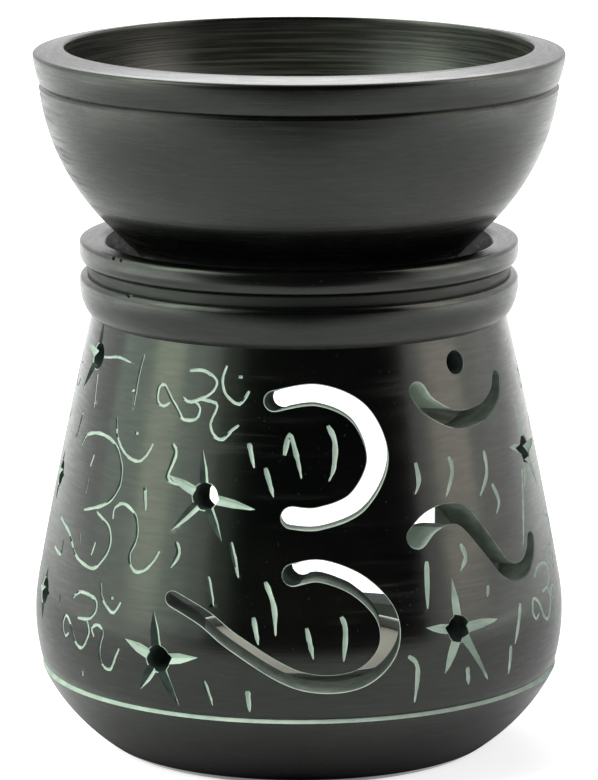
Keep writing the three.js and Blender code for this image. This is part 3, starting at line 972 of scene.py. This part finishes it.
underside_z = DISH_Z + UNDERSIDE_RISE
lip_foot_z = RIM_Z - RIM_FALL - LIP_H
dish_line_z = lip_foot_z - LINE_W
dish_floor_z = DISH_Z + DISH_FLOOR_T
hollow_r = RIM_R - RIM_W
dish_profile = (
    Profile(0, DISH_Z)
    .line(FOOT_R, DISH_Z, UNDERSIDE_EDGE)
    .line(FOOT_R, underside_z - (UNDERSIDE_R - FOOT_R))
    .line(UNDERSIDE_R, underside_z, UNDERSIDE_EDGE)
    .bend((DISH_BELLY[0], RIM_Z - DISH_BELLY[1]), LIP_FOOT_R, dish_line_z)
    .line(LIP_FOOT_R - LINE_DEPTH, dish_line_z + LINE_W / 2)
    .line(LIP_FOOT_R, lip_foot_z)
    .bend(((LIP_FOOT_R + RIM_R) / 2 + LIP_SWELL, lip_foot_z + LIP_H / 2),
          RIM_R, RIM_Z - RIM_FALL, steps=5, edge=RIM_EDGE)
    .line(hollow_r, RIM_Z, RIM_INNER_EDGE)
)
hollow = geometry.interpolate_bezier(
    Vector((hollow_r, RIM_Z)), Vector((hollow_r, RIM_Z - DISH_H / 2)),
    Vector((DISH_HOLLOW_R, dish_floor_z)), Vector((0, dish_floor_z)), HOLLOW_STEPS)
for point in hollow[1:]:
    dish_profile.line(point.x, point.y)
dish = turned("soapstone_dish", dish_profile)
DISH_WAX, OILED = range(2)
dish.data.materials.append(finish("waxed_dish_stone", waxed_stone(0.08, 0.9)))
dish.data.materials.append(finish("oiled_hollow", oiled_hollow))
for face in dish.data.polygons:
    radius, height = face.center.to_2d().length / MM, face.center.z / MM
    inside = radius < hollow_r + DISH_SKIN and height < RIM_Z - RIM_INNER_EDGE
    face.material_index = OILED if inside and face.normal.z > -DISH_SKIN else DISH_WAX
smooth(dish)


# Tealight

cup_top = CUP_Z + CUP_H
cup_in = CUP_R - CUP_T
cup_profile = (
    Profile(0, CUP_Z)
    .line(CUP_R - 2 * CUP_T, CUP_Z, CUP_T)
    .line(CUP_R - CUP_T / 2, CUP_Z + 2 * CUP_T, CUP_T)
    .line(CUP_R, cup_top - 2.5 * CUP_BEAD)
    .bend((CUP_R + CUP_BEAD, cup_top - 2 * CUP_BEAD), CUP_R + CUP_BEAD, cup_top - CUP_BEAD, steps=4)
    .bend((CUP_R + CUP_BEAD, cup_top), CUP_R, cup_top, steps=4)
    .bend((cup_in, cup_top), cup_in, cup_top - CUP_BEAD, steps=4)
    .line(cup_in - CUP_T / 2, CUP_Z + 2 * CUP_T)
    .line(cup_in - CUP_T, CUP_Z + CUP_T)
    .line(0, CUP_Z + CUP_T)
)
cup = turned("tealight_foil_cup", cup_profile, CUP_SIDES, CUP_ROW)
cup.data.materials.append(finish("cup_foil", cup_foil))
smooth(cup)

wax_top = cup_top - WAX_DROP
wax_r = cup_in - CUP_T / 2 - SEAT_GAP
wax_foot = CUP_Z + CUP_T + SEAT_GAP
wax_profile = (
    Profile(0, wax_foot)
    .line(wax_r - CUP_T, wax_foot, CUP_T)
    .line(wax_r, wax_top + CUP_BEAD, CUP_BEAD)
    .bend((wax_r - WAX_CREEP, wax_top - WAX_DIP), wax_r - WAX_FLAT, wax_top - WAX_DIP, steps=6)
    .bend((wax_r / 3, wax_top), 0, wax_top - WAX_DROP / 2, steps=16)
)
wax = turned("tealight_wax_fill", wax_profile, CUP_SIDES, WAX_ROW)
wax.data.materials.append(finish("candle_wax", candle_wax))
smooth(wax)

wick_tip = wax_top + WICK_SHOWN
wick_foot = wax_foot + WICK_SUNK
wick_reach = WICK_R - STRAND_R
strands = []
for strand in range(STRANDS):
    marks = []
    for step in range(STRAND_STEPS + 1):
        t = step / STRAND_STEPS
        turn = 2 * math.pi * (strand / STRANDS + TWISTS * t)
        height = wick_foot + (wick_tip - wick_foot - STRAND_R) * t
        place = Vector((wick_reach * math.cos(turn), wick_reach * math.sin(turn), height))
        marks.append((place * MM, STRAND_R * (1 if t < FRAYED_FROM else FRAYED_SHARE)))
    strands.append(marks)
wick = grooves("tealight_wick", strands)
wick.data.materials.append(finish("wick_cotton", wick_cotton))
smooth(wick, 60)

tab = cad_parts["wick_tab"]
tab.data.materials.clear()
tab.data.materials.append(finish("tab_tin", tab_tin))

for piece, body_name, node_name, slot in (
        (body, "lamp", "lamp_body", "body_stone"), (dish, "dish", "oil_dish", "dish_stone"),
        (cup, "tealight", "tealight_cup", "cup_foil"), (wax, "tealight", "tealight_wax", "wax"),
        (wick, "tealight", "wick", "wick_cotton")):
    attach(piece, body_name)
    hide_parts(node_name)


# Stage, in metres. A fade runs from nothing at its first distance to its most at the second

FLOOR_SIZE = 8.0
FLAG_Y = -1.7
FLAG_LEFT = -1.5
FLAG_RIGHT = 2.7
FLAG_TOP = 1.8
FLAG_OVER = -0.3
FLAG_LIFT = 0.001
FLAG_FADE = (-0.01, -0.265)
FLAG_SPREAD = 0.35
FOOT_SHADE = (0.055, 0.028)
FOOT_SPREAD = 0.065
LAMP_SHADE = (0.33, 0.17)
LAMP_SHADE_MOST = 0.4
CARD_LIFT = 0.002
CARD_GLOW = 0.9
FLOOR_GLOW = 0.72
SKY_LIGHT = 0.18
AIM = Vector((0, 0, 0.05))


def seen_straight(tree):
    """1 for what the camera sees, straight, mirrored or through something, and 0 for what lights a piece."""
    rays = [node(tree, "ShaderNodeLightPath", out=out)
            for out in ("Is Camera Ray", "Is Glossy Ray", "Is Transmission Ray")]
    return node(tree, "ShaderNodeMath", {"operation": "MAXIMUM"}, {
        0: node(tree, "ShaderNodeMath", {"operation": "MAXIMUM"}, {0: rays[0], 1: rays[1]}), 1: rays[2]})


def white_floor(tree):
    """A white sweep that is seen as paper white, with the lamp's shadow on it."""
    paper = node(tree, "ShaderNodeBsdfDiffuse", None, {"Color": (0.8, 0.8, 0.8, 1)})
    lift = node(tree, "ShaderNodeEmission", None,
                {"Color": (1, 1, 1, 1), "Strength": seen_straight(tree) * FLOOR_GLOW})
    return node(tree, "ShaderNodeAddShader", None, {0: paper, 1: lift})


def bright_card(tree):
    """A thin card that only adds its own light to what is seen through it."""
    glow = node(tree, "ShaderNodeEmission", None, {"Color": (0.95, 1, 0.9, 1), "Strength": CARD_GLOW})
    return node(tree, "ShaderNodeAddShader", None, {0: node(tree, "ShaderNodeBsdfTransparent"), 1: glow})


def dark_cloth(tree):
    return node(tree, "ShaderNodeBsdfDiffuse", None, {"Color": (0.01, 0.01, 0.01, 1)})


def reflected_floor_shade(tree):
    """A dark sheet seen only in reflections: it darkens the floor in front, thinning out towards the lamp,
    and paints shade round the lamp, deepest round its foot.
    """
    place = node(tree, "ShaderNodeTexCoord", out=3)
    across, near = [node(tree, "ShaderNodeSeparateXYZ", None, {0: place}, axis) for axis in range(2)]
    aside = node(tree, "ShaderNodeMath", {"operation": "ABSOLUTE"}, {0: across})
    radius = node(tree, "ShaderNodeVectorMath", {"operation": "LENGTH"}, {0: place}, 1)
    parts = [(near + FLAG_SPREAD * aside, FLAG_FADE, 1.0), (radius + FOOT_SPREAD * aside, FOOT_SHADE, 1.0),
             (radius, LAMP_SHADE, LAMP_SHADE_MOST)]
    deep = 0.0
    for value, (low, high), most in parts:
        part = node(tree, "ShaderNodeMapRange", None, {
            "Value": value, "From Min": low, "From Max": high, "To Max": most})
        deep = node(tree, "ShaderNodeMath", {"operation": "MAXIMUM"}, {0: deep, 1: part})
    return node(tree, "ShaderNodeMixShader", None, {
        0: deep, 1: node(tree, "ShaderNodeBsdfTransparent"), 2: dark_cloth(tree)})


def sheet(name, low, high, cloth):
    """A flat sheet between two corners of a box that is thin one way."""
    low, high = Vector(low), Vector(high)
    size = high - low
    upright = size.y == 0
    bpy.ops.object.select_all(action="DESELECT")
    bpy.ops.mesh.primitive_plane_add(size=1, rotation=(math.pi / 2 if upright else 0, 0, 0))
    made = bpy.context.object
    made.name = name
    bpy.ops.object.transform_apply()
    made.scale = (size.x, size.y or 1, size.z or 1)
    made.location = (low + high) / 2
    bpy.ops.object.transform_apply()
    made.data.materials.append(finish(name + "_cloth", cloth))
    return made


def softbox(name, at, size, radiance, colour=(1, 1, 1), mirrored=True, lighting=True):
    """A flat light that faces the lamp, as bright as its radiance when it is seen in a mirror. It can be
    left out of mirrors, or show only in them."""
    lamp = bpy.data.lights.new(name, "AREA")
    lamp.shape = "RECTANGLE"
    lamp.size, lamp.size_y = size
    lamp.energy = radiance * math.pi * size[0] * size[1]
    lamp.color = colour
    box = bpy.data.objects.new(name, lamp)
    box.location = at
    box.rotation_euler = (AIM - Vector(at)).to_track_quat("-Z", "Y").to_euler()
    box.visible_camera = False
    box.visible_glossy = mirrored
    box.visible_diffuse = lighting
    bpy.context.scene.collection.objects.link(box)


sheet("floor", (-FLOOR_SIZE / 2, -FLOOR_SIZE / 2, 0), (FLOOR_SIZE / 2, FLOOR_SIZE / 2, 0), white_floor)
flags = [
    sheet("front_flag", (FLAG_LEFT, FLAG_Y, 0), (FLAG_RIGHT, FLAG_Y, FLAG_TOP), dark_cloth),
    sheet("overhead_flag", (FLAG_LEFT, FLAG_Y, FLAG_TOP), (FLAG_RIGHT, FLAG_OVER, FLAG_TOP), dark_cloth),
    sheet("floor_shade_flag", (FLAG_LEFT, FLAG_Y, FLAG_LIFT), (FLAG_RIGHT, LAMP_SHADE[0], FLAG_LIFT), reflected_floor_shade),
    sheet("left_card", (-0.6, -0.28, CARD_LIFT), (-0.28, 0.1, CARD_LIFT), bright_card),
    sheet("right_card", (0.28, -0.12, CARD_LIFT), (0.6, 0.12, CARD_LIFT), bright_card),
]
# The flags and cards show only in reflections: painted dark and bright reflections that neither block nor
# give light
for flag in flags:
    for ray in ("camera", "diffuse", "transmission", "shadow"):
        setattr(flag, "visible_" + ray, False)

world = bpy.data.worlds.new("white_tent")
bpy.context.scene.world = world
world.use_nodes = True
sky = world.node_tree.nodes["Background"]
sky.inputs["Color"].default_value = (1, 1, 1, 1)
strength = SKY_LIGHT + (1 - SKY_LIGHT) * seen_straight(world.node_tree)
world.node_tree.links.new(strength.socket, sky.inputs["Strength"])

softbox("key_softbox", (-1.38, -0.24, 0.75), (1.8, 1.5), 1.05, (0.7, 1, 0.78))
softbox("key_strip", (-1.24, -0.38, 0.75), (0.5, 1.5), 1.65, (1, 1, 0.74))
softbox("key_spill", (-0.9, -1.07, 0.75), (0.54, 1.5), 0.4, (0.8, 1, 0.8), lighting=False)
softbox("fill_softbox", (1.4, 0.1, 0.75), (1.7, 1.5), 0.34, (1, 0.95, 0.82), lighting=False)
softbox("fill_strip", (1.28, -0.2, 0.75), (0.64, 1.5), 1.3, (1, 0.86, 0.68), lighting=False)
softbox("back_softbox", (0, 1.3, 1.12), (0.95, 0.8), 3.1)
softbox("raking_lamp", (-1.11, -0.59, 1.03), (0.8, 0.8), 6.4, mirrored=False)
softbox("fill_lamp", (0.9, -1.0, 0.9), (0.8, 0.8), 3.0, mirrored=False)
softbox("window_lamp", (0, 1.1, 0.55), (0.7, 0.5), 2.4, mirrored=False)

CAMERA_AT = Vector((0, -0.6972, 0.1883))
CAMERA_PITCH = 11.17
FOCAL_PX = 5003
PHOTO_H = 780
camera_data = bpy.data.cameras.new("camera")
camera_data.lens = FOCAL_PX / PHOTO_H * camera_data.sensor_width
camera = bpy.data.objects.new("camera", camera_data)
camera.location = CAMERA_AT
camera.rotation_euler = (math.radians(90 - CAMERA_PITCH), 0, 0)
bpy.context.scene.collection.objects.link(camera)
bpy.context.scene.camera = camera
bpy.context.scene.view_settings.view_transform = "Standard"
